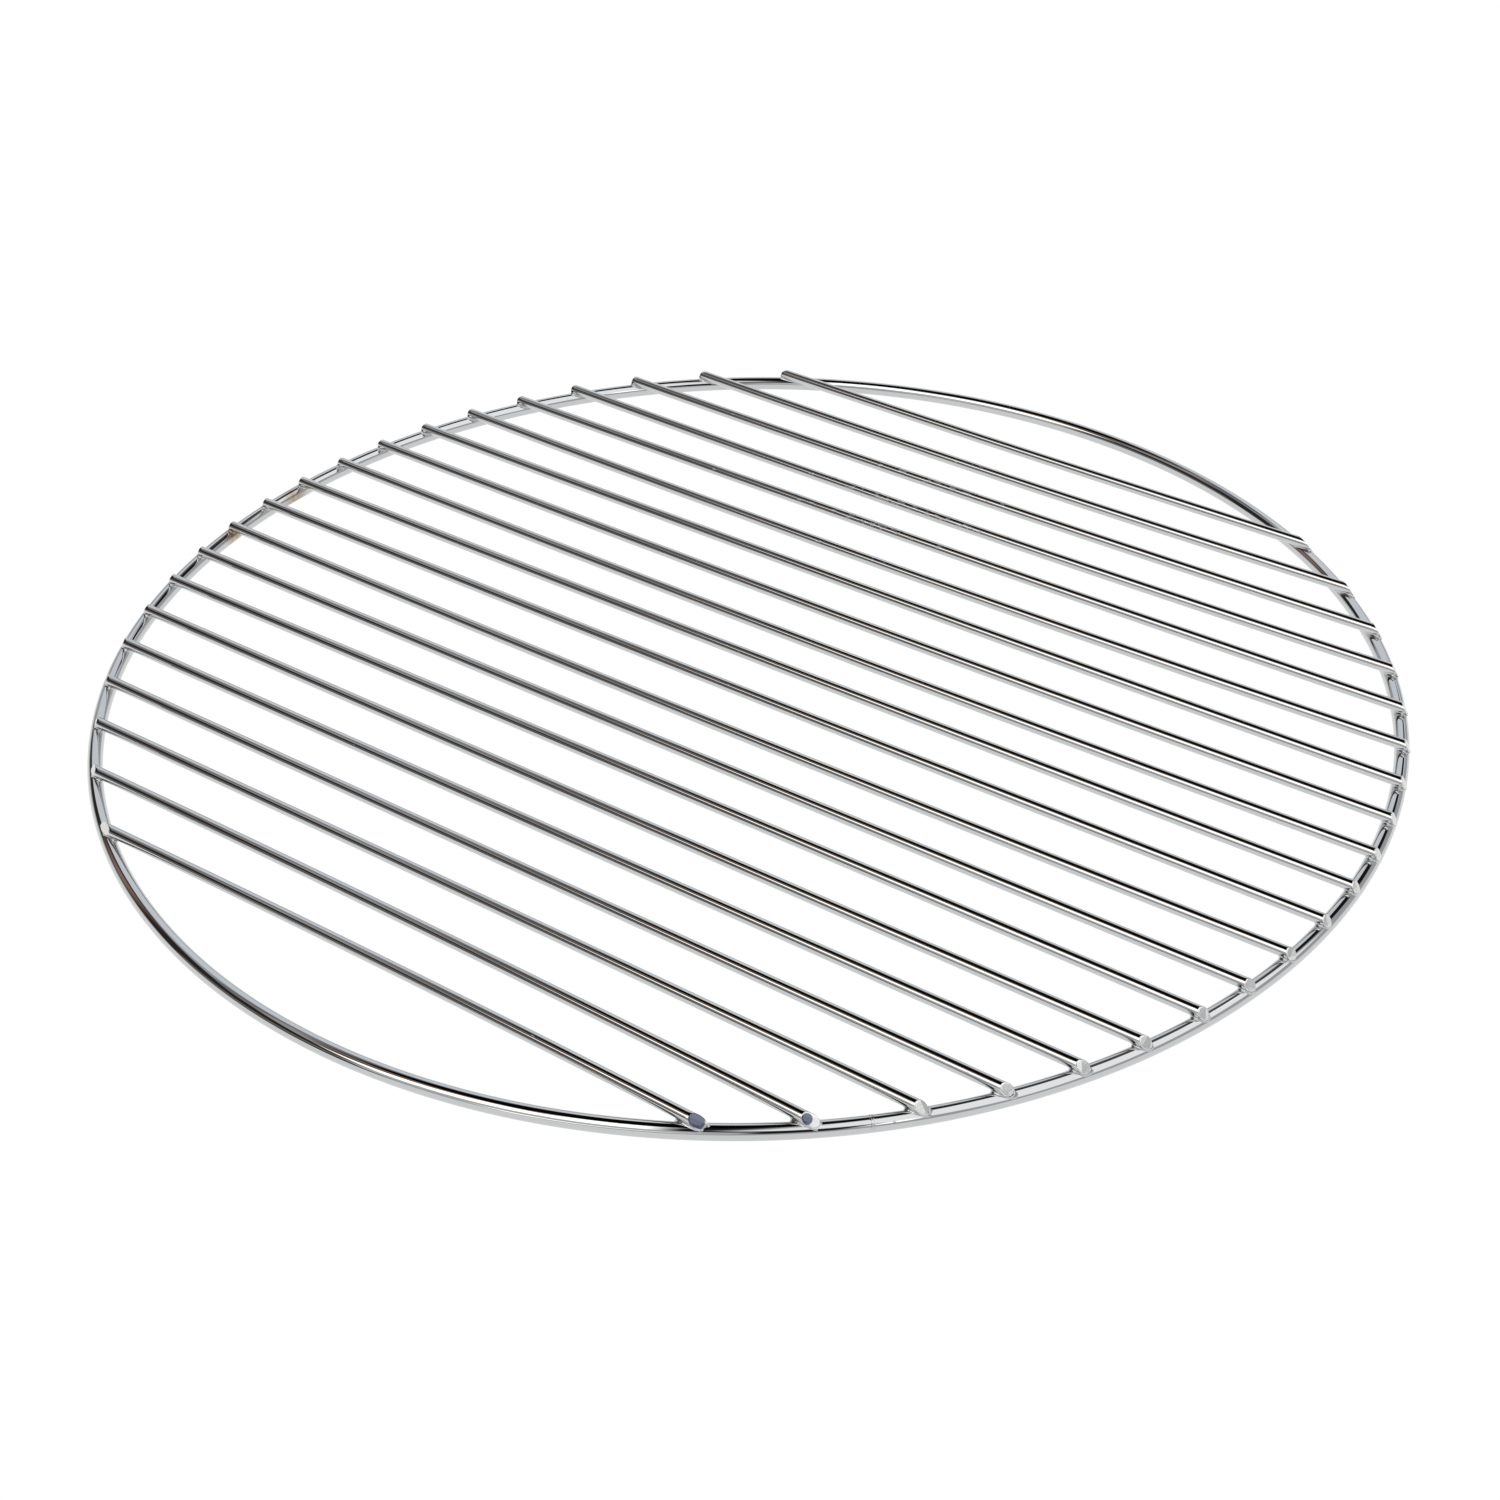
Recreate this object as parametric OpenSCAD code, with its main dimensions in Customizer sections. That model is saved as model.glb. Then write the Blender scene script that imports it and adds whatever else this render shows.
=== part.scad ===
// Round wire cooling rack.
// A closed wire rim lies flat on the worktop. A row of parallel rods lies across it.
// Each rod is pressed a little into the rim and resistance-welded to it at both ends.
// Frame: +Z up, +X along the rods, +Y across them, and Z = 0 where the rim rests.
// All sizes are in millimetres and all angles in degrees.

/* [Rim] */
// Outside diameter of the rack
rack_d = 350; // [300:5:450]
// Diameter of the rim's wire
rim_wire_d = 4; // [3:0.25:6]

/* [Rods] */
// How many rods lie across the rim
rod_count = 20; // [8:1:26]
// Diameter of each rod
rod_d = 3; // [2:0.25:4]
// Segment left open beyond the outermost rod, from its axis to the rim's centre line
end_gap = 27.2; // [12:0.2:60]
// How deep the weld presses each rod into the rim
set_down = 0.4; // [0.1:0.05:0.8]
// How far a rod's underside runs past the rim's centre line
rod_reach = 1.6; // [1:0.1:2]
// Lean of the trimmed rod ends towards the middle of the rack
trim_lean = 22; // [0:1:35]

/* [Welds] */
// Thickness of the metal that each weld squeezes out beside the rod and above the rim
weld_bead = 0.5; // [0.2:0.1:0.8]
// How far that metal runs inwards from the rim's centre line
weld_reach = 1.6; // [1:0.1:2]
// Clearance that the model leaves between the weld metal and the rim's round wire
weld_gap = 0.1; // [0:0.01:0.2]

/* [Rim joint] */
// The rim's two ends meet on the +X side, with this many rods between them and the near side
joint_near_rods = 2; // [1:1:6]
// Width of the butt weld along the rim
joint_w = 1.2; // [0.6:0.1:3]
// How far the butt weld stands proud of the wire
joint_proud = 0.15; // [0.05:0.05:0.4]
// How far below the wire's axis the collar reaches before it is dressed off
joint_open = 1.6; // [0:0.1:1.9]

/* [Hidden] */
// Every round surface carries over as a true curve, so these only set the preview
$fn = 96;
RIM_FN = 360;
// Extra length on cutting shapes, so that no two faces coincide
SPARE = 1;

rim_r = (rack_d - rim_wire_d) / 2;
rim_z = rim_wire_d / 2;
rod_bottom_z = rim_wire_d - set_down;
rod_z = rod_bottom_z + rod_d / 2;
rack_h = rod_bottom_z + rod_d;
first_rod_y = rim_r - end_gap;
rod_pitch = 2 * first_rod_y / (rod_count - 1);

// Rods are numbered from the far side of the rack, at +Y, to the near side
function rod_y(i) = first_rod_y - (i - 1) * rod_pitch;
// The rim's joint lies halfway between two rods, clear of their welds
joint_angle = asin(rod_y(rod_count - joint_near_rods + 0.5) / rim_r);

function two_digits(i) = i < 10 ? str("0", i) : str(i);
function rod_name(i) = str("rod_", two_digits(i));
function weld_name(i) = str("weld_", two_digits(i));

// The rim's round section swept in a circle, thickened by "extra" all round
module rim_wire(extra = 0) {
    translate([0, 0, rim_z])
        rotate_extrude($fn = RIM_FN)
            translate([rim_r, 0])
                circle(d = rim_wire_d + 2 * extra);
}

// Draws its children, made for a rod at y in the far half, at rod i: the row is symmetric
module at_rod(i) {
    near = rod_y(i) < 0 ? 1 : 0;
    mirror([0, near, 0])
        children();
}

// One straight rod at y before its ends are trimmed, thickened by "extra" all round
module rod_wire(y, extra = 0) {
    translate([0, y, rod_z])
        rotate([0, 90, 0])
            cylinder(d = rod_d + 2 * extra, h = rack_d, center = true);
}

// The cone that the rod ends are trimmed to: it follows the rim and leans inwards
module trim_cone() {
    below = rod_bottom_z;
    above = rod_d + SPARE;
    base_r = rim_r + rod_reach;
    cylinder(
        r1 = base_r + below * tan(trim_lean),
        r2 = base_r - above * tan(trim_lean),
        h = below + above,
        $fn = RIM_FN
    );
}

module rim() {
    color("silver")
        rim_wire();
}

// A rod with both ends trimmed, and dented by the rim as deep as its welds sink
module rod(i) {
    y = abs(rod_y(i));
    color("gainsboro")
        at_rod(i)
            difference() {
                intersection() {
                    rod_wire(y);
                    trim_cone();
                }
                rim_wire();
            }
}

// The band round the rim's crown that weld metal reaches, trimmed with the rod ends
module weld_zone() {
    difference() {
        trim_cone();
        cylinder(r = rim_r - weld_reach, h = rack_h + SPARE, $fn = RIM_FN);
        translate([0, 0, rim_wire_d + weld_bead])
            cylinder(d = rack_d + SPARE, h = rack_h);
    }
}

// The two welds of one rod: the metal squeezed out where rod and rim cross
module weld(i) {
    y = abs(rod_y(i));
    color("darkgray")
        at_rod(i)
            difference() {
                intersection() {
                    rod_wire(y, weld_bead);
                    weld_zone();
                }
                rim_wire(weld_gap);
                rod_wire(y);
            }
}

// The section of the butt weld: a thin collar round the wire, dressed off underneath
module joint_section() {
    collar_r = rim_wire_d / 2 + joint_proud;
    difference() {
        circle(r = collar_r);
        circle(d = rim_wire_d);
        translate([-collar_r, -2 * collar_r])
            square([2 * collar_r, 2 * collar_r - joint_open]);
    }
}

// The butt weld that closes the rim
module rim_joint() {
    sweep = joint_w / rim_r * 180 / PI;
    color("darkgray")
        rotate([0, 0, joint_angle - sweep / 2])
            translate([0, 0, rim_z])
                rotate_extrude(angle = sweep, $fn = RIM_FN)
                    translate([rim_r, 0])
                        joint_section();
}

rim();
rim_joint();
for (i = [1 : rod_count]) {
    rod(i);
    weld(i);
}
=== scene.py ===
import math
import random

import bpy
import numpy as np
from bpy.props import FloatProperty, FloatVectorProperty, IntProperty, PointerProperty
from mathutils import Matrix, Vector
from mathutils.bvhtree import BVHTree


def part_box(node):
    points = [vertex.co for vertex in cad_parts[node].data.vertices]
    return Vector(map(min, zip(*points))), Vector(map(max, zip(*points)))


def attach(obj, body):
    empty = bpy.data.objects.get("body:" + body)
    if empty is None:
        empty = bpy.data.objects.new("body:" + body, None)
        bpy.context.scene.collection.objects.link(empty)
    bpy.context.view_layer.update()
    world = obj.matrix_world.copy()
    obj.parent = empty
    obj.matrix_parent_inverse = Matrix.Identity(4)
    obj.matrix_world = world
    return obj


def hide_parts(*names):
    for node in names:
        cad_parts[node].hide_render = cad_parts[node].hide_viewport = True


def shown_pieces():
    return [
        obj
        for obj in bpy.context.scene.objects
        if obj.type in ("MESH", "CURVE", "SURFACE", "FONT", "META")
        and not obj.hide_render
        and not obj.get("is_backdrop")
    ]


bl_info = {
    "name": "Round wire cooling rack",
    "version": (1, 0, 0),
    "blender": (4, 5, 0),
    "location": "3D View > Sidebar > Cooling Rack",
    "description": "Chrome-plated wire, resistance welds and a plain studio round the packed rack",
    "category": "Object",
}

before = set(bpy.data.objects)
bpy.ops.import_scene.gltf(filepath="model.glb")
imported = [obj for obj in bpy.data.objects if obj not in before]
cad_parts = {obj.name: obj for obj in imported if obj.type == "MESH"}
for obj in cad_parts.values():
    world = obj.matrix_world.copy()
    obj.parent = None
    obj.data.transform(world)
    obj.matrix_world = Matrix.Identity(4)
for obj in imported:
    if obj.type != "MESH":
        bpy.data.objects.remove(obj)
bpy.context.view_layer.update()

MM = 0.001
BODY = "root"
RIM_SLOT = "rim_chrome"
ROD_SLOT = "rod_chrome"
WELD_SLOT = "weld_chrome"

# ---------------------------------------------------------------- sizes from the frame


def tenth_mm(length):
    """A length in metres, rounded to a tenth of a millimetre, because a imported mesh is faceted."""
    return round(length, 4)


def nodes_like(start):
    """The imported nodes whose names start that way, in order."""
    return sorted(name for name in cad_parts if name.startswith(start))


RIM_LOW, RIM_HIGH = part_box("rim")
RIM_WIRE_R = tenth_mm(RIM_HIGH.z - RIM_LOW.z) / 2
RIM_R = tenth_mm(RIM_HIGH.x) - RIM_WIRE_R
RIM_Z = RIM_WIRE_R
RODS = nodes_like("rod_")
WELDS = nodes_like("weld_")
ROD_LOW, ROD_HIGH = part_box(RODS[len(RODS) // 2])
ROD_R = tenth_mm(ROD_HIGH.z - ROD_LOW.z) / 2
ROD_BOTTOM = tenth_mm(ROD_LOW.z)
ROD_Z = ROD_BOTTOM + ROD_R


def rod_y(name):
    """Where a packed rod lies across the rack."""
    low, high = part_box(name)
    return (low.y + high.y) / 2


# The middle rod runs nearly square to the rim, so its lowest end gives how far rods run past it
ROD_REACH = tenth_mm(ROD_HIGH.x) - RIM_R

# ---------------------------------------------------------------- places in the picture

PICTURE_W = 1500
PICTURE_H = 1500
# x or y is None where only the other one is meant
POINTS = {
    "left_edge": (87, None),
    "right_edge": (1410, None),
    "top_edge": (None, 370),
    "bottom_edge": (None, 1141),
    "rod_01_left_end": (785, 373),
    "rod_01_right_end": (1304, 542),
    "rod_06_left_end": (470, 412),
    "rod_06_right_end": (1408, 746),
    "rod_10_left_end": (301, 481),
    "rod_15_left_end": (146, 608),
    "rod_15_right_end": (1146, 1042),
    "rod_20_left_end": (106, 828),
    "rod_20_right_end": (697, 1121),
    "rim_joint": (872, 1122),
    "tint_far": (295, 499),
    "tint_near": (233, 534),
    "scuff": (905, 500),
    "worn_end_19": (807, 1119),
    "worn_end_20": (695, 1121),
}

# ---------------------------------------------------------------- small tools


def linear(code):
    """An sRGB hex colour as the linear values that Blender's sockets take."""
    parts = [int(code[i:i + 2], 16) / 255 for i in (0, 2, 4)]
    return [c / 12.92 if c <= 0.04045 else ((c + 0.055) / 1.055) ** 2.4 for c in parts]


def shade(color):
    """Three linear values as the four that a colour socket takes."""
    return (color[0], color[1], color[2], 1.0)


def add_node(tree, kind, values=None, links=None, **settings):
    """Adds one node. Settings go to the node, values to its inputs, links from (node, output)."""
    node = tree.nodes.new(kind)
    for key, value in settings.items():
        setattr(node, key, value)
    for key, value in (values or {}).items():
        node.inputs[key].default_value = value
    for key, (source, output) in (links or {}).items():
        tree.links.new(source.outputs[output], node.inputs[key])
    return node


def new_material(name):
    """An empty material and its node tree."""
    material = bpy.data.materials.new(name)
    material.use_nodes = True
    material.node_tree.nodes.clear()
    return material, material.node_tree


def grid_faces(rows, columns, closed_rows=False):
    """Quads of a grid of points whose columns close on themselves."""
    last = rows if closed_rows else rows - 1
    row, column = np.meshgrid(np.arange(last), np.arange(columns), indexing="ij")
    next_row = (row + 1) % rows
    next_column = (column + 1) % columns
    corners = [
        next_row * columns + column, next_row * columns + next_column,
        row * columns + next_column, row * columns + column]
    return np.stack(corners, -1).reshape(-1, 4).tolist()


def make_piece(name, points, faces, materials, picks=None, coords=None):
    """A smooth mesh object. picks gives each face's material, coords each vertex's (along, round)."""
    mesh = bpy.data.meshes.new(name)
    mesh.from_pydata([tuple(p) for p in np.asarray(points, float)], [], faces)
    for material in materials:
        mesh.materials.append(material)
    mesh.polygons.foreach_set("use_smooth", [True] * len(mesh.polygons))
    if picks is not None:
        mesh.polygons.foreach_set("material_index", picks)
    if coords is not None:
        layer = mesh.uv_layers.new(name="wire")
        corner = np.empty(len(mesh.loops), int)
        mesh.loops.foreach_get("vertex_index", corner)
        layer.data.foreach_set("uv", np.asarray(coords, float)[corner].reshape(-1))
    mesh.validate()
    mesh.update()
    piece = bpy.data.objects.new(name, mesh)
    bpy.context.scene.collection.objects.link(piece)
    return piece


def settle(piece, slot, *nodes):
    """Rides the piece on the rack's one body and lets it stand for its CAD nodes."""
    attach(piece, BODY)
    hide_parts(*nodes)


# ---------------------------------------------------------------- what a user would change


class RackSizes(bpy.types.PropertyGroup):
    end_edge: FloatProperty(
        name="End Edge", description="Rounding of the edge round each rod's trimmed end",
        default=0.22 * MM, min=0.05 * MM, max=0.8 * MM, precision=5, unit="LENGTH")
    weld_fillet: FloatProperty(
        name="Weld Fillet", description="Radius of the metal in the corner between rod and rim",
        default=0.42 * MM, min=0.1 * MM, max=1.5 * MM, precision=5, unit="LENGTH")
    bead_width: FloatProperty(
        name="Butt Weld Width", description="Width of the rim's butt weld along the wire",
        default=1.0 * MM, min=0.4 * MM, max=4 * MM, precision=5, unit="LENGTH")
    bead_height: FloatProperty(
        name="Butt Weld Height", description="How far the rim's butt weld stands proud of the wire",
        default=0.11 * MM, min=0.05 * MM, max=0.5 * MM, precision=5, unit="LENGTH")
    rod_sag: FloatProperty(
        name="Rod Sag", description="How far a middle rod hangs below a straight line at mid-length",
        default=0.45 * MM, min=0.0, max=2 * MM, precision=5, unit="LENGTH")
    rod_bow: FloatProperty(
        name="Rod Bow", description="How much more the far rods hang, and the near rods rise",
        default=0.8 * MM, min=0.0, max=2 * MM, precision=5, unit="LENGTH")
    rod_fan: FloatProperty(
        name="Rod Fan", description="How much wider apart the rods lie at their left ends",
        default=0.01, min=0.0, max=0.05, precision=3)
    seed: IntProperty(
        name="Seed", description="Start of the random draws for wire, facets and welds",
        default=7, min=0)


class RackFinish(bpy.types.PropertyGroup):
    chrome: FloatVectorProperty(
        name="Chrome", description="Colour of the chromium plating",
        subtype="COLOR", size=3, min=0, max=1, default=linear("c4c5c6"))
    end: FloatVectorProperty(
        name="Rod Ends", description="Colour of the plating over the rods' trimmed ends",
        subtype="COLOR", size=3, min=0, max=1, default=linear("dcdddb"))
    worn: FloatVectorProperty(
        name="Worn Ends", description="Colour of the steel where an end's plating is thin",
        subtype="COLOR", size=3, min=0, max=1, default=linear("666c7c"))
    # The weld's plating colour, partly real and partly darkened as painted shade for the pocket under
    # each rod's end
    weld: FloatVectorProperty(
        name="Weld", description="Colour of the plating over weld metal",
        subtype="COLOR", size=3, min=0, max=1, default=linear("bcbdbf"))
    tint: FloatVectorProperty(
        name="Heat Tint", description="Brown oxide that shows beside two of the welds",
        subtype="COLOR", size=3, min=0, max=1, default=linear("8c6f35"))


class RackStudio(bpy.types.PropertyGroup):
    camera_place: FloatVectorProperty(
        name="Camera Place", description="Where the camera stands, in the rack's frame",
        subtype="TRANSLATION", size=3, precision=5, default=(0.34589, -0.46859, 0.39677))
    camera_azimuth: FloatProperty(
        name="Camera Azimuth", description="Turn of the view about the vertical",
        subtype="ANGLE", default=math.radians(36.39))
    camera_elevation: FloatProperty(
        name="Camera Elevation", description="How far the view looks down",
        subtype="ANGLE", default=math.radians(35.61))
    camera_roll: FloatProperty(
        name="Camera Roll", description="Turn of the picture about the line of sight",
        subtype="ANGLE", default=math.radians(-1.07))
    lens: FloatProperty(
        name="Lens", description="Focal length for a sensor 36 mm wide",
        default=62.47, min=1, unit="CAMERA")
    floor: FloatVectorProperty(
        name="Floor", description="Colour of the sweep of paper that the rack stands on",
        subtype="COLOR", size=3, min=0, max=1, default=linear("f4f4f4"))


# ---------------------------------------------------------------- materials


def chrome_wire(finish, tints, scuff):
    """Chromium plated on drawn steel wire. Drawing leaves fine lines along the wire, which the
    plating follows: reflections stay sharp across the wire and shimmer a little along it."""
    material, tree = new_material("chrome_plated_drawn_wire")
    wire = add_node(tree, "ShaderNodeUVMap", uv_map="wire")
    # Drawing lines are about 0.05 mm apart, finer than a pixel: they are drawn 0.4 mm apart
    lines = add_node(
        tree, "ShaderNodeMapping", {"Scale": (0.06 / MM, 2.5 / MM, 1)}, {"Vector": (wire, "UV")})
    line_noise = add_node(
        tree, "ShaderNodeTexNoise", {"Scale": 1.0, "Detail": 2.0}, {"Vector": (lines, "Vector")})
    place = add_node(tree, "ShaderNodeTexCoord")
    # The plating's gloss drifts over about 20 mm
    cloud = add_node(
        tree, "ShaderNodeTexNoise", {"Scale": 0.045 / MM, "Detail": 3.0}, {"Vector": (place, "Object")})
    rough = add_node(
        tree, "ShaderNodeMapRange", {"From Min": 0.35, "From Max": 0.75, "To Min": 0.01, "To Max": 0.04},
        {"Value": (cloud, "Fac")})
    # Dull dashes up to 3 mm long and 1 mm wide where the rods were rubbed in handling
    drawn_out = add_node(
        tree, "ShaderNodeMapping", {"Scale": (0.35 / MM, 0.8 / MM, 0.8 / MM)},
        {"Vector": (place, "Object")})
    specks = add_node(
        tree, "ShaderNodeTexNoise", {"Scale": 1.0, "Detail": 1.0}, {"Vector": (drawn_out, "Vector")})
    near = add_node(
        tree, "ShaderNodeVectorMath", {1: scuff}, {0: (place, "Object")}, operation="DISTANCE")
    rubbed = add_node(
        tree, "ShaderNodeMapRange",
        {"From Min": 10 * MM, "From Max": 50 * MM, "To Min": 0.55, "To Max": 0.8},
        {"Value": (near, "Value")})
    speck = add_node(
        tree, "ShaderNodeMath", {}, {0: (specks, "Fac"), 1: (rubbed, "Result")},
        operation="GREATER_THAN")
    dulled = add_node(
        tree, "ShaderNodeMath", {1: 0.3}, {0: (speck, "Value"), 2: (rough, "Result")},
        operation="MULTIPLY_ADD")
    bump = add_node(
        tree, "ShaderNodeBump", {"Strength": 0.05, "Distance": 0.02 * MM},
        {"Height": (line_noise, "Fac")})
    color = heat_tint(tree, place, finish, tints, finish.chrome)
    shader = add_node(
        tree, "ShaderNodeBsdfPrincipled", {"Metallic": 1.0},
        {"Base Color": (color, 2), "Roughness": (dulled, "Value"), "Normal": (bump, "Normal")})
    add_node(tree, "ShaderNodeOutputMaterial", {}, {"Surface": (shader, "BSDF")})
    return material


def heat_tint(tree, place, finish, tints, metal):
    """Brown oxide within a few millimetres of each tinted weld, in patches of about 2 mm."""
    cloud = add_node(
        tree, "ShaderNodeTexNoise", {"Scale": 0.5 / MM, "Detail": 3.0}, {"Vector": (place, "Object")})
    color = None
    for spot, reach in tints:
        away = add_node(
            tree, "ShaderNodeVectorMath", {1: spot}, {0: (place, "Object")}, operation="DISTANCE")
        amount = add_node(
            tree, "ShaderNodeMapRange",
            {"From Min": reach, "From Max": reach * 0.2, "To Min": 0.0, "To Max": 1.2},
            {"Value": (away, "Value")})
        patchy = add_node(
            tree, "ShaderNodeMath", {}, {0: (amount, "Result"), 1: (cloud, "Fac")},
            operation="MULTIPLY")
        mix = add_node(
            tree, "ShaderNodeMix", {6: shade(metal), 7: shade(finish.tint)},
            {0: (patchy, "Value")}, data_type="RGBA")
        if color is not None:
            tree.links.new(color.outputs[2], mix.inputs[6])
        color = mix
    return color


def chrome_end(finish, worn):
    """Chromium over a sheared and tumbled wire end. Its torn grain scatters the light, so the
    end looks satin and nearly even beside the mirror of the wire. On the worn ends the plating is
    thin and the steel shows blue-grey."""
    material, tree = new_material("chrome_plated_sheared_end")
    place = add_node(tree, "ShaderNodeTexCoord")
    # Torn grain of about 0.4 mm
    grain = add_node(
        tree, "ShaderNodeTexNoise", {"Scale": 2.5 / MM, "Detail": 3.0}, {"Vector": (place, "Object")})
    rough = add_node(
        tree, "ShaderNodeMapRange", {"To Min": 0.16, "To Max": 0.36}, {"Value": (grain, "Fac")})
    bump = add_node(
        tree, "ShaderNodeBump", {"Strength": 0.35, "Distance": 0.08 * MM}, {"Height": (grain, "Fac")})
    color = None
    for spot, reach in worn:
        away = add_node(
            tree, "ShaderNodeVectorMath", {1: spot}, {0: (place, "Object")}, operation="DISTANCE")
        patch = add_node(
            tree, "ShaderNodeMapRange", {"From Min": reach, "From Max": reach * 0.85},
            {"Value": (away, "Value")})
        mix = add_node(
            tree, "ShaderNodeMix", {6: shade(finish.end), 7: shade(finish.worn)},
            {0: (patch, "Result")}, data_type="RGBA")
        if color is not None:
            tree.links.new(color.outputs[2], mix.inputs[6])
        color = mix
    shader = add_node(
        tree, "ShaderNodeBsdfPrincipled", {"Metallic": 1.0},
        {"Base Color": (color, 2), "Roughness": (rough, "Result"), "Normal": (bump, "Normal")})
    add_node(tree, "ShaderNodeOutputMaterial", {}, {"Surface": (shader, "BSDF")})
    return material


def chrome_weld(finish, tints):
    """Chromium over resistance-weld metal. The squeezed-out metal froze in fine ripples, so the
    plating breaks the reflections up and is slightly duller than on the wire. Its colour is also a
    little darker than the wire's, as painted shade for the pocket under each rod's end."""
    material, tree = new_material("chrome_plated_weld_metal")
    place = add_node(tree, "ShaderNodeTexCoord")
    # Ripples of about 0.7 mm
    ripple = add_node(
        tree, "ShaderNodeTexNoise", {"Scale": 1.4 / MM, "Detail": 2.0}, {"Vector": (place, "Object")})
    rough = add_node(
        tree, "ShaderNodeMapRange", {"To Min": 0.02, "To Max": 0.08}, {"Value": (ripple, "Fac")})
    bump = add_node(
        tree, "ShaderNodeBump", {"Strength": 0.8, "Distance": 0.1 * MM}, {"Height": (ripple, "Fac")})
    # The weld colour carries painted shade: it is darkened for the pocket under each rod's end
    color = heat_tint(tree, place, finish, tints, finish.weld)
    shader = add_node(
        tree, "ShaderNodeBsdfPrincipled", {"Metallic": 1.0},
        {"Base Color": (color, 2), "Roughness": (rough, "Result"), "Normal": (bump, "Normal")})
    add_node(tree, "ShaderNodeOutputMaterial", {}, {"Surface": (shader, "BSDF")})
    return material


# ---------------------------------------------------------------- shapes of the wire


RIM_STEPS = 900
RIM_SIDES = 56
# How far the rim's wire strays sideways, and how far it lifts off the worktop
RIM_STRAY = 0.03 * MM
RIM_LIFT = 0.02 * MM


def slow_wave(rng, count, size):
    """A smooth wander round a closed path, from a few long waves: wire is never quite even."""
    turn = np.linspace(0, 2 * math.pi, count, endpoint=False)
    wander = np.zeros(count)
    fewest = 9
    for waves in (fewest, 14, 23):
        wander += np.sin(waves * turn + rng.uniform(0, 2 * math.pi)) * size / waves * fewest
    return wander / 2


def rim_mesh(rng):
    """The rim's wire swept round, with the slight waviness of bent wire."""
    turn = np.linspace(0, 2 * math.pi, RIM_STEPS, endpoint=False)
    side = np.linspace(0, 2 * math.pi, RIM_SIDES, endpoint=False)
    out = slow_wave(rng, RIM_STEPS, RIM_STRAY)
    lift = slow_wave(rng, RIM_STEPS, RIM_LIFT)
    radius = RIM_R + out[:, None] + RIM_WIRE_R * np.cos(side)[None, :]
    z = RIM_Z + np.abs(lift)[:, None] + RIM_WIRE_R * np.sin(side)[None, :]
    x = radius * np.cos(turn)[:, None]
    y = radius * np.sin(turn)[:, None]
    points = np.stack([x, y, np.broadcast_to(z, x.shape)], -1).reshape(-1, 3)
    along = np.broadcast_to((turn * RIM_R)[:, None], x.shape)
    around = np.broadcast_to((side * RIM_WIRE_R)[None, :], x.shape)
    coords = np.stack([along, around], -1).reshape(-1, 2)
    return points, grid_faces(RIM_STEPS, RIM_SIDES, closed_rows=True), coords


ROD_SIDES = 48
ROD_STEPS = 110
# Rings over a rod's end: round the softened edge, and from there to the middle
EDGE_RINGS = 5
CAP_RINGS = 12

# The ends are trimmed along the rim and lean towards the middle. The left ones stand upright on
# the far side and lean more towards the near one, the right ones lean most of all on the near side
UPRIGHT_LEAN = math.radians(5)
TRIM_LEAN = math.radians(22)
STEEP_LEAN = math.radians(30)
NEAR_LEAN = math.radians(38)
# How much of the rim's slant the cut follows where the shears stood squarer to the rod
FAR_LEFT_SLANT = 0.35
NEAR_RIGHT_SLANT = 0.5
# How far the left ends reach past the rim's centre line, by their place across the rack, in mm
LEFT_REACH = {-146: 2.0, -130: 1.5, -115: 1.1, -54: 0.8, -15: 0.4, 25: 0.1, 60: 0.3, 100: 1.3, 146: 1.4}
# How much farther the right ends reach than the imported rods
RIGHT_FAR_EXTRA = 0.9 * MM
RIGHT_MIDDLE_EXTRA = 0.5 * MM
RIGHT_NEAR_EXTRA = 0.8 * MM
# How much farther back than the right ends the left ones lie
LEFT_SHIFT = 0.4 * MM
# Between which y the right ends change from the middle's trim to the near or the far side's, the
# left ones from upright to leaning and then to steep, and the right ends' flats to steeper ones
NEAR_RIGHT = (-45 * MM, -115 * MM)
FAR_RIGHT = (-20 * MM, 20 * MM)
LEANING_LEFT = (50 * MM, -50 * MM)
STEEP_LEFT = (-100 * MM, -140 * MM)
FLATTER_RIGHT = (-45 * MM, -100 * MM)
# How steep the flats on the ends are. The near right ends stayed longest in the tumbler
LEFT_FLATS = 0.3
RIGHT_FLATS = 0.25
NEAR_RIGHT_FLATS = 0.6
# Rods that stand out in the row, in mm: bent upwards at mid-length, or off their place at the right
BENT = {"rod_01": 0.8, "rod_04": -0.5, "rod_06": -1.0, "rod_08": -0.4, "rod_09": -0.7, "rod_12": -0.8,
        "rod_14": 0.6, "rod_18": 0.3, "rod_19": 0.9, "rod_20": 0.7}
ASKEW = {"rod_19": -1.6, "rod_20": -0.6, "rod_10": 0.6, "rod_11": 0.4, "rod_14": 0.6, "rod_16": 0.5}


def rod_line(name, sizes):
    """A rod's y at its left and at its right end. The rods fan out a little to the left."""
    y0 = rod_y(name)
    return y0 * (1 + sizes.rod_fan) + LEFT_SHIFT, y0 + ASKEW.get(name, 0) * MM


def between(low, high, value):
    """How far the value has got from low to high, kept within 0 and 1."""
    return min(max((value - low) / (high - low), 0), 1)


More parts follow.
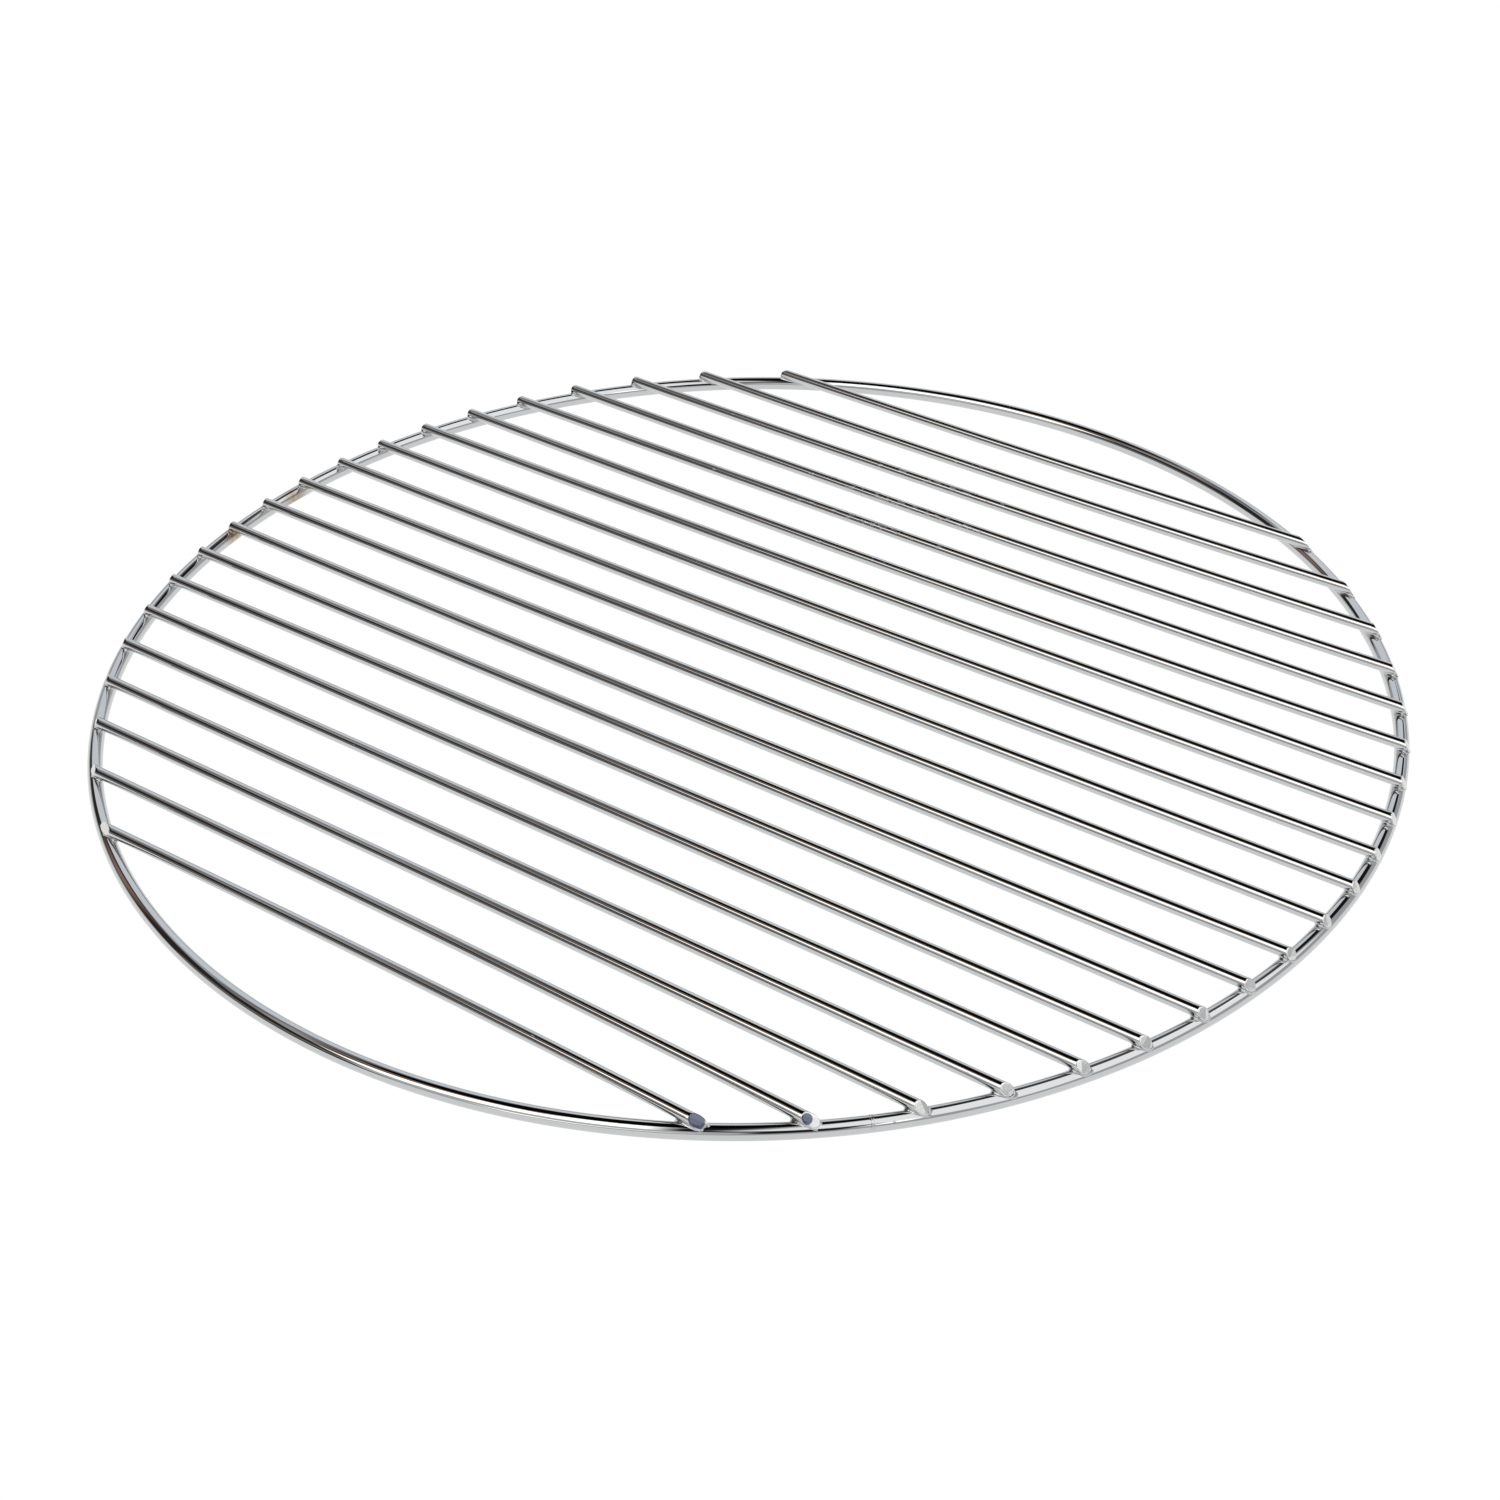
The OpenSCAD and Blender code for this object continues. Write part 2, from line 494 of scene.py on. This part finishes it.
def trim(y0, way):
    """The cut of a rod's end on that side: its y, the x of its lowest edge, its slant and lean."""
    crossing = math.sqrt(RIM_R ** 2 - y0 ** 2)
    slant = -y0 / crossing
    if way > 0:
        near = between(*NEAR_RIGHT, y0)
        far = between(*FAR_RIGHT, y0)
        extra = RIGHT_MIDDLE_EXTRA + (RIGHT_NEAR_EXTRA - RIGHT_MIDDLE_EXTRA) * near
        extra += (RIGHT_FAR_EXTRA - RIGHT_MIDDLE_EXTRA) * far
        lean = STEEP_LEAN + (NEAR_LEAN - STEEP_LEAN) * near
        return y0, crossing + ROD_REACH + extra, slant * (1 - near + NEAR_RIGHT_SLANT * near), lean
    lean = UPRIGHT_LEAN + (TRIM_LEAN - UPRIGHT_LEAN) * between(*LEANING_LEFT, y0)
    lean += (STEEP_LEAN - TRIM_LEAN) * between(*STEEP_LEFT, y0)
    reach = np.interp(y0 / MM, list(LEFT_REACH), list(LEFT_REACH.values())) * MM
    return y0, crossing + reach, slant * (FAR_LEFT_SLANT if y0 > 0 else 1), lean


def trimmed_x(cut, y, z):
    """How far out a trimmed end reaches at that y and z. The cut leans towards the middle."""
    y0, lowest, slant, lean = cut
    return lowest + slant * (y - y0) - (z - ROD_BOTTOM) * math.tan(lean) * math.hypot(1, slant)


def end_flats(rng, steepness):
    """Two or three flats that shearing and tumbling leave on one end: way, slope and onset."""
    flats = []
    for _ in range(rng.choice((2, 3, 3))):
        slope = rng.uniform(0.4, 0.8) * steepness
        flats.append((rng.uniform(0, 2 * math.pi), slope, slope * rng.uniform(0.2, 0.9) * MM))
    return flats


def end_cap(cut, flats, edge):
    """Rings of points over one trimmed end, from its edge to its middle, as if it were at +X."""
    side = np.linspace(0, 2 * math.pi, ROD_SIDES, endpoint=False)
    rings = []
    for step in range(EDGE_RINGS + CAP_RINGS):
        if step <= EDGE_RINGS:
            bend = step / EDGE_RINGS * math.pi / 2
            scale = 1 - edge / ROD_R * (1 - math.cos(bend))
            drop = edge * (1 - math.sin(bend))
        else:
            scale = (1 - edge / ROD_R) * (1 - (step - EDGE_RINGS) / CAP_RINGS)
            drop = 0.0
        dy = ROD_R * scale * np.cos(side)
        dz = ROD_R * scale * np.sin(side)
        dent = np.zeros(ROD_SIDES)
        for angle, slope, onset in flats:
            flat = slope * (dy * math.cos(angle) + dz * math.sin(angle)) - onset
            dent = np.maximum(dent, flat)
        x = trimmed_x(cut, cut[0] + dy, ROD_Z + dz) - dent
        rings.append(np.stack([x - drop, cut[0] + dy, ROD_Z + dz], -1))
    return rings


def rod_mesh(name, rng, sizes):
    """One rod, bowed a little, with both ends trimmed, flattened and softened at the edge. Its
    faces take the first material along the wire and the second over the ends."""
    left_y, right_y = rod_line(name, sizes)
    near = between(*FLATTER_RIGHT, right_y)
    right_flats = end_flats(rng, RIGHT_FLATS + (NEAR_RIGHT_FLATS - RIGHT_FLATS) * near)
    left_flats = end_flats(rng, LEFT_FLATS)
    right = end_cap(trim(right_y, 1), right_flats, sizes.end_edge)
    left = [ring * (-1, 1, 1) for ring in end_cap(trim(left_y, -1), left_flats, sizes.end_edge)]
    # Rings bunch up near the ends, where the welds' reflections need a finer mesh
    even = np.linspace(0, 1, ROD_STEPS)
    shares = (1 - np.cos(even * math.pi)) / 2 * 0.5 + even * 0.5
    between_ends = [left[0] * (1 - share) + right[0] * share for share in shares[1:-1]]
    grid = np.stack(left[::-1] + between_ends + right)
    rise = BENT.get(name, 0) * MM - sizes.rod_sag - sizes.rod_bow * rod_y(name) / RIM_R
    half = abs(left[0][:, 0]).mean()
    grid[:, :, 2] += rise * np.clip(1 - (grid[:, :, 0] / half) ** 2, 0, 1)
    count = len(grid)
    faces = grid_faces(count, ROD_SIDES)
    ring_of = np.repeat(np.arange(count - 1), ROD_SIDES)
    picks = ((ring_of < len(left) - 1) | (ring_of >= count - len(right))).astype(int).tolist()
    # The innermost ring closes each end
    faces.append(list(range(ROD_SIDES)))
    faces.append([(count - 1) * ROD_SIDES + k for k in range(ROD_SIDES)][::-1])
    picks += [1, 1]
    side = np.arange(ROD_SIDES) / ROD_SIDES * 2 * math.pi * ROD_R
    coords = np.stack([grid[:, :, 0], np.broadcast_to(side[None, :], grid.shape[:2])], -1)
    return grid.reshape(-1, 3), faces, picks, coords.reshape(-1, 2)


WELD_STEPS = 44
WELD_ARC = 9
# How unevenly the metal was squeezed out round a crossing: how many swells, and their share
WELD_SWELLS = ((2, 0.12), (5, 0.08), (9, 0.05))
# How far both edges of the weld metal sink into the wires
WELD_SINK = 0.15 * MM
# How much the ring that closes the weld metal inside the wires is drawn towards their crossing
WELD_GATHER = 0.45
# The shears trim this metal with the rod. It stays that far behind the rod's end, and follows the
# cut over this share of the rod's width
SHEAR_LAG = 0.1 * MM
SHEAR_SPAN = 0.8


def ball_centre(y0, x0, turn, ball):
    """Where a ball of that radius rests against both rod and rim, seen that way from their crossing.
    The ball touches the rod at every step and is moved out by halves until it clears the rim."""
    low, high = 0.0, 6 * MM
    sine, cosine = math.sin(turn), math.cos(turn)
    if abs(sine) > 1e-6:
        # Farther out it would lose the rod
        high = min(high, (ROD_R + ball) / abs(sine) * 0.9999)
    for _ in range(40):
        step = (low + high) / 2
        x, y = x0 + step * cosine, y0 + step * sine
        z = ROD_Z - math.sqrt(max((ROD_R + ball) ** 2 - (step * sine) ** 2, 0))
        gap = math.hypot(math.hypot(x, y) - RIM_R, z - RIM_Z) - (RIM_WIRE_R + ball)
        low, high = (step, high) if gap < 0 else (low, step)
    return Vector((x, y, z))


def weld_ring(cut, rng, radius):
    """The fillet of squeezed-out metal round one crossing, as a closed ring, as if it were at +X."""
    y0 = cut[0]
    x0 = math.sqrt(RIM_R ** 2 - y0 ** 2)
    crossing = Vector((x0, y0, (2 * RIM_WIRE_R + ROD_BOTTOM) / 2))
    phases = [rng.uniform(0, 2 * math.pi) for _ in WELD_SWELLS]
    rows = []
    for step in range(WELD_STEPS):
        turn = step / WELD_STEPS * 2 * math.pi
        swell = 1
        for (count, share), phase in zip(WELD_SWELLS, phases):
            swell += share * math.sin(count * turn + phase)
        centre = ball_centre(y0, x0, turn, radius * swell)
        flat = Vector((centre.x, centre.y, 0)).normalized() * RIM_R
        rim_axis = Vector((flat.x, flat.y, RIM_Z))
        rod_axis = Vector((centre.x, y0, ROD_Z))
        start = (rim_axis - centre).normalized()
        end = (rod_axis - centre).normalized()
        row = []
        for part in range(WELD_ARC + 1):
            way = start.slerp(end, part / WELD_ARC)
            row.append(centre + way * radius * swell)
        rim_touch, rod_touch = row[0], row[-1]
        row.insert(0, rim_touch + start * WELD_SINK)
        row.append(rod_touch + end * WELD_SINK)
        row.append((rim_touch + rod_touch) / 2 * (1 - WELD_GATHER) + crossing * WELD_GATHER)
        rows.append(row)
    grid = np.array([[tuple(point) for point in row] for row in rows])
    beside = np.clip(grid[:, :, 1], y0 - SHEAR_SPAN * ROD_R, y0 + SHEAR_SPAN * ROD_R)
    limit = trimmed_x(cut, beside, grid[:, :, 2]) - SHEAR_LAG
    grid[:, :, 0] = np.minimum(grid[:, :, 0], limit)
    return grid


def weld_mesh(name, rng, sizes):
    """Both welds of one rod as two closed rings."""
    left_y, right_y = rod_line(name.replace("weld", "rod"), sizes)
    points, faces = [], []
    for way, y0 in ((1, right_y), (-1, left_y)):
        grid = weld_ring(trim(y0, way), rng, sizes.weld_fillet) * (way, 1, 1)
        ring = grid_faces(grid.shape[0], grid.shape[1], closed_rows=True)
        if way < 0:
            # The left weld is a mirror image, so its faces turn the other way
            ring = [face[::-1] for face in ring]
        faces += [[k + len(points) for k in face] for face in ring]
        points += grid.reshape(-1, 3).tolist()
    return points, faces


JOINT_STEPS = 48
JOINT_SIDES = 40
# The line of the joint in the middle of the collar
GROOVE_WIDTH = 0.14 * MM
GROOVE_DEPTH = 0.13 * MM
# The collar runs out below the wire's surface, past its width, and closes deeper inside
JOINT_RUN_OUT = 0.3 * MM
JOINT_SINK = 0.03 * MM
JOINT_ROOT = 0.4 * MM


def joint_mesh(sizes):
    """The rim's butt weld: a low collar with the line of the joint sunk along its middle."""
    low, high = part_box("rim_joint")
    middle = math.atan2((low.y + high.y) / 2, (low.x + high.x) / 2)
    half = sizes.bead_width / 2
    along = np.linspace(-half - JOINT_RUN_OUT, half + JOINT_RUN_OUT, JOINT_STEPS)
    side = np.linspace(0, 2 * math.pi, JOINT_SIDES, endpoint=False)
    bead = np.exp(-((along / half) ** 4)) * sizes.bead_height
    groove = np.exp(-((along / GROOVE_WIDTH) ** 2)) * GROOVE_DEPTH
    # The collar is dressed off underneath, where the rim has to lie flat
    upper = np.clip((np.sin(side) + 0.45) / 0.5, 0, 1)
    outside = RIM_WIRE_R - JOINT_SINK + (bead - groove)[:, None] * upper[None, :]
    inside = np.full_like(outside, RIM_WIRE_R - JOINT_ROOT)
    turn = middle + along[:, None] / RIM_R
    layers = []
    for wire in (outside, inside):
        radius = RIM_R + wire * np.cos(side)[None, :]
        z = RIM_Z + wire * np.sin(side)[None, :]
        layers.append(np.stack([radius * np.cos(turn), radius * np.sin(turn), z], -1))
    grid = np.concatenate([layers[0], layers[1][::-1]])
    return grid.reshape(-1, 3), grid_faces(len(grid), JOINT_SIDES, closed_rows=True)


# ---------------------------------------------------------------- camera and image points


def camera_turn(studio):
    """The camera's axes as columns: right, up and back."""
    azimuth, elevation, roll = studio.camera_azimuth, studio.camera_elevation, studio.camera_roll
    back = Vector((
        math.sin(azimuth) * math.cos(elevation), -math.cos(azimuth) * math.cos(elevation),
        math.sin(elevation)))
    level = Vector((math.cos(azimuth), math.sin(azimuth), 0))
    upright = back.cross(level)
    right = level * math.cos(roll) + upright * math.sin(roll)
    up = upright * math.cos(roll) - level * math.sin(roll)
    return Matrix((right, up, back)).transposed()


def picture_ray(x, y):
    """The camera's place and the direction through a point of the picture."""
    camera = bpy.context.scene.camera
    lens = camera.data
    long_side = max(PICTURE_W, PICTURE_H)
    way = Vector((
        x - PICTURE_W / 2 + lens.shift_x * long_side,
        PICTURE_H / 2 - y + lens.shift_y * long_side,
        -long_side * lens.lens / lens.sensor_width))
    turn = camera.matrix_world.to_3x3()
    return camera.matrix_world.translation.copy(), (turn @ way).normalized()


def picture_places(points):
    """Where an array of points shows in the picture."""
    camera = bpy.context.scene.camera
    lens = camera.data
    long_side = max(PICTURE_W, PICTURE_H)
    back = np.array(camera.matrix_world.inverted())
    seen = points @ back[:3, :3].T + back[:3, 3]
    scale = long_side * lens.lens / lens.sensor_width / -seen[:, 2]
    return np.stack([
        seen[:, 0] * scale + PICTURE_W / 2 - lens.shift_x * long_side,
        PICTURE_H / 2 - seen[:, 1] * scale + lens.shift_y * long_side], -1)


# How far from the camera the wire is looked for, in mm
SEARCHED = range(300, 900, 3)


def place_on(name, tree):
    """The place on the tree's surface where a named point of the picture falls. A point that just
    misses the wire falls on the surface nearest to its line of sight."""
    start, way = picture_ray(*POINTS[name])
    hit = tree.ray_cast(start, way)[0]
    if hit is not None:
        return hit
    spots = [start + way * reach * MM for reach in SEARCHED]
    return min((tree.find_nearest(spot) for spot in spots), key=lambda found: found[3])[0]


def vertices(item):
    """A mesh object's vertices, in the rack's frame."""
    points = np.empty(len(item.data.vertices) * 3)
    item.data.vertices.foreach_get("co", points)
    return points.reshape(-1, 3)


def tree_of(objects):
    """One search tree over all the objects' faces."""
    points, faces = [], []
    for item in objects:
        start = len(points)
        points += vertices(item).tolist()
        faces += [[start + k for k in face.vertices] for face in item.data.polygons]
    return BVHTree.FromPolygons(points, faces)


# How much of a rod's length counts as its end
END_SHOWN = 3 * MM
# Lines of sight start this far off the surface, so that it doesn't hide itself
OFF_SURFACE = 0.05 * MM


def seen_places(points, tree):
    """Where those of the points that nothing hides show in the picture."""
    eye = bpy.context.scene.camera.matrix_world.translation
    seen = []
    for point in points:
        place = Vector(point)
        way = (eye - place).normalized()
        if tree.ray_cast(place + way * OFF_SURFACE, way)[0] is None:
            seen.append(tuple(place))
    return picture_places(np.array(seen))


def report_points():
    """Works out where each named thing shows in the picture. Nothing is written or kept."""
    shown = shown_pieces()
    tree = tree_of(shown)
    by_name = {item.name: item for item in shown}
    outline = np.concatenate([picture_places(vertices(item)) for item in shown])
    sides = {
        "left_edge": (outline[:, 0].min(), None), "right_edge": (outline[:, 0].max(), None),
        "top_edge": (None, outline[:, 1].min()), "bottom_edge": (None, outline[:, 1].max())}
    for name, (x, y) in POINTS.items():
        if name in sides:
            place = sides[name]
        elif name == "rim_joint":
            place = seen_places(vertices(by_name["wire_rim_joint"]), tree).mean(axis=0)
        elif name.startswith("rod_"):
            rod_name = name[:len("rod_00")]
            left_y, right_y = rod_line(rod_name, settings()[0])
            y0, way = (right_y, 1) if name.endswith("right_end") else (left_y, -1)
            rod = vertices(by_name["wire_" + rod_name])
            ends = trimmed_x(trim(y0, way), rod[:, 1], rod[:, 2])
            place = seen_places(rod[rod[:, 0] * way > ends - END_SHOWN], tree).mean(axis=0)
        else:
            place = picture_places(np.array([bpy.context.scene[name]]))[0]


# ---------------------------------------------------------------- operators


def settings():
    """The user's sizes, finish and studio."""
    scene = bpy.context.scene
    return scene.rack_sizes, scene.rack_finish, scene.rack_studio


def place_marks(names, objects):
    """Where the named marks fall on the objects. The places are kept for report_points."""
    tree = tree_of(objects)
    scene = bpy.context.scene
    for name in names:
        scene[name] = place_on(name, tree)
    return [Vector(scene[name]) for name in names]


# How far the heat tints and the worn patches reach
TINTS = {"tint_far": 5.5 * MM, "tint_near": 4.5 * MM}
WORN_PATCHES = {"worn_end_19": 1.4 * MM, "worn_end_20": 2.5 * MM}


def marks():
    """The marks' places on the wire: (place, reach) of each heat tint, and the scuffed patch."""
    wires = [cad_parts[name] for name in ["rim"] + RODS + WELDS]
    *spots, scuff = place_marks([*TINTS, "scuff"], wires)
    return list(zip(spots, TINTS.values())), scuff


def wire_material():
    """The wire's material, made once."""
    found = bpy.data.materials.get("chrome_plated_drawn_wire")
    return found or chrome_wire(settings()[1], *marks())


def weld_material():
    """The weld metal's material, made once."""
    found = bpy.data.materials.get("chrome_plated_weld_metal")
    return found or chrome_weld(settings()[1], marks()[0])


class RACK_OT_camera(bpy.types.Operator):
    """Sets the camera to the picture's view"""
    bl_idname = "rack.camera"
    bl_label = "Camera"

    def execute(self, context):
        studio = settings()[2]
        data = bpy.data.cameras.new("camera")
        data.lens = studio.lens
        data.sensor_width = 36
        data.sensor_fit = "AUTO"
        data.clip_start = 0.01
        camera = bpy.data.objects.new("camera", data)
        turn = camera_turn(studio).to_4x4()
        camera.matrix_world = Matrix.Translation(Vector(studio.camera_place)) @ turn
        context.scene.collection.objects.link(camera)
        context.scene.camera = camera
        context.view_layer.update()
        return {"FINISHED"}


class RACK_OT_rim(bpy.types.Operator):
    """Makes the rim's wire"""
    bl_idname = "rack.rim"
    bl_label = "Rim"

    def execute(self, context):
        sizes = settings()[0]
        points, faces, coords = rim_mesh(random.Random(sizes.seed))
        rim = make_piece("wire_rim", points, faces, [wire_material()], coords=coords)
        settle(rim, RIM_SLOT, "rim")
        return {"FINISHED"}


class RACK_OT_rim_joint(bpy.types.Operator):
    """Makes the butt weld that closes the rim"""
    bl_idname = "rack.rim_joint"
    bl_label = "Rim Joint"

    def execute(self, context):
        points, faces = joint_mesh(settings()[0])
        joint = make_piece("wire_rim_joint", points, faces, [weld_material()])
        settle(joint, WELD_SLOT, "rim_joint")
        return {"FINISHED"}


class RACK_OT_rods(bpy.types.Operator):
    """Makes the row of rods"""
    bl_idname = "rack.rods"
    bl_label = "Rods"

    def execute(self, context):
        sizes, finish, _ = settings()
        rods = []
        for number, name in enumerate(RODS):
            rng = random.Random(sizes.seed * 100 + number)
            points, faces, picks, coords = rod_mesh(name, rng, sizes)
            rod = make_piece(
                "wire_" + name, points, faces, [wire_material(), None], picks=picks, coords=coords)
            settle(rod, ROD_SLOT, name)
            rods.append(rod)
        # The worn ends' places are only known once the ends are cut
        spots = place_marks(WORN_PATCHES, rods)
        end_material = chrome_end(finish, list(zip(spots, WORN_PATCHES.values())))
        for rod in rods:
            rod.data.materials[1] = end_material
        return {"FINISHED"}


class RACK_OT_welds(bpy.types.Operator):
    """Makes the weld metal under both ends of every rod"""
    bl_idname = "rack.welds"
    bl_label = "Welds"

    def execute(self, context):
        sizes = settings()[0]
        for number, name in enumerate(WELDS):
            rng = random.Random(sizes.seed * 1000 + number)
            points, faces = weld_mesh(name, rng, sizes)
            weld = make_piece("metal_" + name, points, faces, [weld_material()])
            settle(weld, WELD_SLOT, name)
        return {"FINISHED"}


# The paper is wide enough to reach past the picture, and lies just below the rack, in metres
FLOOR_HALF = 12.0
FLOOR_DROP = 0.1 * MM
# How much the paper glows where the camera or the chrome looks at it, so that it shows as white
GLOW_SHARE = 0.9
GLOW = 1.07
WHITE = (1, 1, 1, 1)
WALLS_LOW = linear("c3c5c7")
WALLS_HIGH = linear("b3b4b6")
# What hangs before the walls, from the back to the front: aim, half size, edge, colour, strength.
# The boxes are lamps behind cloth. The dark panels are the gaps, beams and people between them
PANELS = {
    "far_backdrop": ((-30, 35, 45), (0.45, 0.55), 0.1, "edf3f8", 1.05),
    "overhead_box": ((5, 73, -25), (0.45, 0.65), 0.05, "fffaf2", 1.9),
    "dark_ceiling": ((-75, 75, -10), (0.85, 0.35), 0.1, "5b5957", 1.0),
    "dark_left": ((-120, 25, 10), (0.95, 0.35), 0.05, "36312d", 1.0),
    "brown_left": ((-93, 26, -35), (0.07, 0.24), 0.2, "a8887b", 1.0),
    "softbox": ((164, 45, -25), (0.7, 0.63), 0.1, "fffdfa", 2.2),
    "photographer": ((138, 50, 10), (0.27, 0.7), 0.1, "262423", 1.0),
    "side_box": ((80, 55, -15), (0.65, 0.55), 0.2, "ffffff", 1.35),
    "dark_beam": ((-63, 73, -30), (0.45, 0.27), 0.05, "0c0b0b", 1.0),
    "dark_gap": ((-136, 15, -15), (0.3, 0.15), 0.05, "787674", 1.0),
    "roof_line": ((-78, 51, 5), (0.45, 0.05), 0.05, "7f848c", 1.0),
    "low_wall": ((177, 25, -10), (0.55, 0.2), 0.1, "d3d5d6", 1.0),
    "wood_edge": ((-122, 61, -35), (0.35, 0.04), 0.05, "cb9c6e", 1.0),
    "far_gap": ((3, 39, 15), (0.26, 0.18), 0.08, "211d1b", 1.0),
}


def hang_panel(tree, way, behind, aim, half, soft, color, strength):
    """Hangs one soft-edged rectangle, bright or dark, far off in the studio before what is behind
    it. aim is its azimuth from +Y towards +X, its elevation and its turn, all in degrees; half is
    its half width and half height and soft the width of its edge, seen from a distance of 1."""
    azimuth, elevation, turn = (math.radians(angle) for angle in aim)
    facing = Vector((
        math.cos(elevation) * math.sin(azimuth), math.cos(elevation) * math.cos(azimuth),
        math.sin(elevation)))
    level = Vector((math.cos(azimuth), -math.sin(azimuth), 0))
    upright = facing.cross(level)
    across = level * math.cos(turn) - upright * math.sin(turn)
    along = upright * math.cos(turn) + level * math.sin(turn)
    axes = Matrix((across, along, facing)).to_euler()
    seen = add_node(tree, "ShaderNodeMapping", {"Rotation": axes}, {"Vector": way})
    depth = add_node(tree, "ShaderNodeSeparateXYZ", {}, {0: (seen, "Vector")})
    near = add_node(tree, "ShaderNodeMath", {0: 1.0}, {1: (depth, "Z")}, operation="DIVIDE")
    flat = add_node(
        tree, "ShaderNodeVectorMath", {}, {0: (seen, "Vector"), "Scale": (near, "Value")},
        operation="SCALE")
    away = add_node(tree, "ShaderNodeVectorMath", {}, {0: (flat, "Vector")}, operation="ABSOLUTE")
    sides = add_node(tree, "ShaderNodeSeparateXYZ", {}, {0: (away, "Vector")})
    cover = add_node(
        tree, "ShaderNodeMath", {1: 0.05}, {0: (depth, "Z")}, operation="GREATER_THAN")
    for side, reach in zip("XY", half):
        inside = add_node(
            tree, "ShaderNodeMapRange", {"From Min": reach + soft / 2, "From Max": reach - soft / 2},
            {"Value": (sides, side)}, interpolation_type="SMOOTHSTEP")
        cover = add_node(
            tree, "ShaderNodeMath", {}, {0: (cover, "Value"), 1: (inside, "Result")},
            operation="MULTIPLY")
    light = [value * strength for value in linear(color)]
    mix = add_node(
        tree, "ShaderNodeMix", {7: shade(light)}, {0: (cover, "Value"), 6: behind}, data_type="RGBA")
    return (mix, 2)


class RACK_OT_stage(bpy.types.Operator):
    """Makes the white floor and the studio that lights the rack and shows in its chrome"""
    bl_idname = "rack.stage"
    bl_label = "Stage"

    def execute(self, context):
        studio = settings()[2]
        self.make_floor(studio)
        self.make_world()
        context.scene.view_settings.view_transform = "Standard"
        return {"FINISHED"}

    def make_floor(self, studio):
        """White paper. It shows as plain white in the picture and in the chrome, with a trace of
        the rack's shadow."""
        material, tree = new_material("white_paper_sweep")
        path = add_node(tree, "ShaderNodeLightPath")
        seen = add_node(
            tree, "ShaderNodeMath", {}, {0: (path, "Is Camera Ray"), 1: (path, "Is Glossy Ray")},
            operation="MAXIMUM")
        share = add_node(
            tree, "ShaderNodeMath", {1: GLOW_SHARE}, {0: (seen, "Value")}, operation="MULTIPLY")
        paper = add_node(tree, "ShaderNodeBsdfDiffuse", {"Color": shade(studio.floor)})
        glow = add_node(tree, "ShaderNodeEmission", {"Strength": GLOW})
        mix = add_node(
            tree, "ShaderNodeMixShader", {},
            {0: (share, "Value"), 1: (paper, "BSDF"), 2: (glow, "Emission")})
        add_node(tree, "ShaderNodeOutputMaterial", {}, {"Surface": (mix, "Shader")})
        turns = ((-1, -1), (1, -1), (1, 1), (-1, 1))
        corners = [(x * FLOOR_HALF, y * FLOOR_HALF, 0) for x, y in turns]
        floor = make_piece("floor", corners, [[0, 1, 2, 3]], [material])
        floor.location.z = -FLOOR_DROP
        floor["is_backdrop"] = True

    def make_world(self):
        """The studio that lights the rack and shows in its chrome, and white behind the picture."""
        world = bpy.data.worlds.new("studio")
        world.use_nodes = True
        tree = world.node_tree
        tree.nodes.clear()
        coords = add_node(tree, "ShaderNodeTexCoord")
        way = (coords, "Generated")
        height = add_node(tree, "ShaderNodeSeparateXYZ", {}, {0: way})
        # Grey walls that darken a little upwards, over a white table
        walls = add_node(
            tree, "ShaderNodeMix", {6: shade(WALLS_LOW), 7: shade(WALLS_HIGH)}, {0: (height, "Z")},
            data_type="RGBA", clamp_factor=True)
        sky = (walls, 2)
        for panel in PANELS.values():
            sky = hang_panel(tree, way, sky, *panel)
        under = add_node(
            tree, "ShaderNodeMath", {1: 0.0}, {0: (height, "Z")}, operation="LESS_THAN")
        table = add_node(
            tree, "ShaderNodeMix", {7: WHITE}, {0: (under, "Value"), 6: sky}, data_type="RGBA")
        path = add_node(tree, "ShaderNodeLightPath")
        seen = add_node(
            tree, "ShaderNodeMix", {7: WHITE}, {0: (path, "Is Camera Ray"), 6: (table, 2)},
            data_type="RGBA")
        back = add_node(tree, "ShaderNodeBackground", {}, {"Color": (seen, 2)})
        add_node(tree, "ShaderNodeOutputWorld", {}, {"Surface": (back, "Background")})
        bpy.context.scene.world = world


class RACK_PT_panel(bpy.types.Panel):
    bl_idname = "RACK_PT_panel"
    bl_label = "Cooling Rack"
    bl_space_type = "VIEW_3D"
    bl_region_type = "UI"
    bl_category = "Cooling Rack"

    def draw(self, context):
        for operator in OPERATORS:
            self.layout.operator(operator.bl_idname)
        for group in settings():
            box = self.layout.box()
            for key in group.__annotations__:
                box.prop(group, key)


GROUPS = {"rack_sizes": RackSizes, "rack_finish": RackFinish, "rack_studio": RackStudio}
OPERATORS = [
    RACK_OT_camera, RACK_OT_rim, RACK_OT_rim_joint, RACK_OT_rods, RACK_OT_welds, RACK_OT_stage]


def register():
    for item in list(GROUPS.values()) + OPERATORS + [RACK_PT_panel]:
        bpy.utils.register_class(item)
    for key, group in GROUPS.items():
        setattr(bpy.types.Scene, key, PointerProperty(type=group))


def unregister():
    for key in GROUPS:
        delattr(bpy.types.Scene, key)
    for item in [RACK_PT_panel] + OPERATORS[::-1] + list(GROUPS.values())[::-1]:
        bpy.utils.unregister_class(item)


def main():
    register()
    for operator in OPERATORS:
        area, call = operator.bl_idname.split(".")
        getattr(getattr(bpy.ops, area), call)()
    bpy.context.view_layer.update()
    report_points()


if __name__ == "__main__":
    main()
